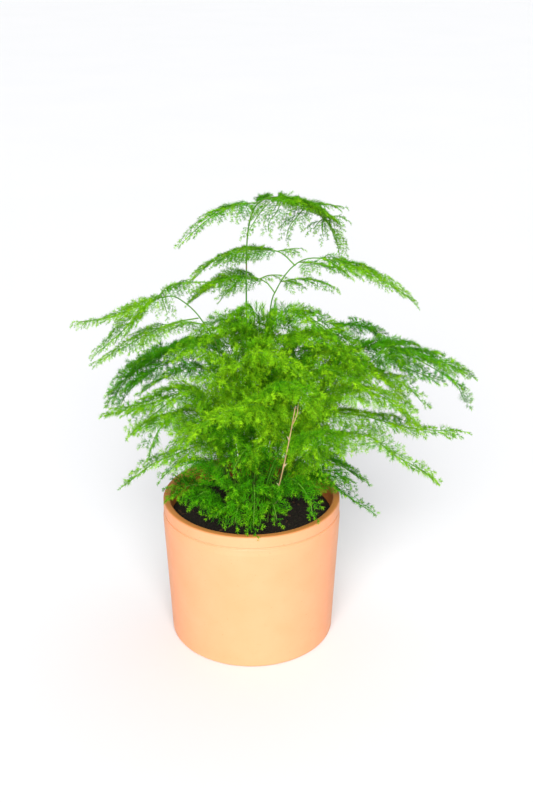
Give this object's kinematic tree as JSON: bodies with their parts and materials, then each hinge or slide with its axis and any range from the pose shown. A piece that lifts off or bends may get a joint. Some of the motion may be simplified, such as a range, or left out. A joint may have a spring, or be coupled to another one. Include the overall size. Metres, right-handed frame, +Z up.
{
  "type": "potted lace fern",
  "caption": "Lace fern in a round clay pot: wiry stems carry tiers of flat, arching sprays of needle-fine green shoots above dark soil.",
  "frame": {"origin": "centre of the pot's flat underside", "axes": "+Z up, -Y towards the plant's front as it is seen, +X to its right"},
  "size_m": [0.3003, 0.2044, 0.3523],
  "materials": {
    "pot": "satin",
    "soil": "matte",
    "foliage": "satin",
    "dry_stem": "matte"
  },
  "bodies": {
    "root": {"dry_stem": "dry_stem", "frond_back": "foliage", "frond_back_far_left": "foliage", "frond_back_left": "foliage", "frond_back_left_inner": "foliage", "frond_back_left_low": "foliage", "frond_back_mid": "foliage", "frond_back_right_inner": "foliage", "frond_back_right_low": "foliage", "frond_back_right_rim": "foliage", "frond_centre": "foliage", "frond_crown_back": "foliage", "frond_crown_front": "foliage", "frond_crown_left": "foliage", "frond_crown_mid": "foliage", "frond_crown_right": "foliage", "frond_crown_top": "foliage", "frond_front": "foliage", "frond_front_far_left": "foliage", "frond_front_hang": "foliage", "frond_front_left": "foliage", "frond_front_right": "foliage", "frond_high_left": "foliage", "frond_high_right": "foliage", "frond_inner_left": "foliage", "frond_inner_low": "foliage", "frond_inner_right": "foliage", "frond_left": "foliage", "frond_left_hang": "foliage", "frond_left_low": "foliage", "frond_low_front": "foliage", "frond_low_left": "foliage", "frond_low_right": "foliage", "frond_mid_left": "foliage", "frond_mid_right": "foliage", "frond_pot_front": "foliage", "frond_pot_left": "foliage", "frond_right": "foliage", "frond_right_front": "foliage", "frond_right_inner": "foliage", "frond_right_low": "foliage", "frond_right_mid": "foliage", "frond_rim_back": "foliage", "frond_rim_back_left": "foliage", "frond_rim_front": "foliage", "frond_rim_left": "foliage", "frond_rim_right": "foliage", "frond_tall": "foliage", "pot": "pot", "soil": "soil"}
  },
  "joints": []
}
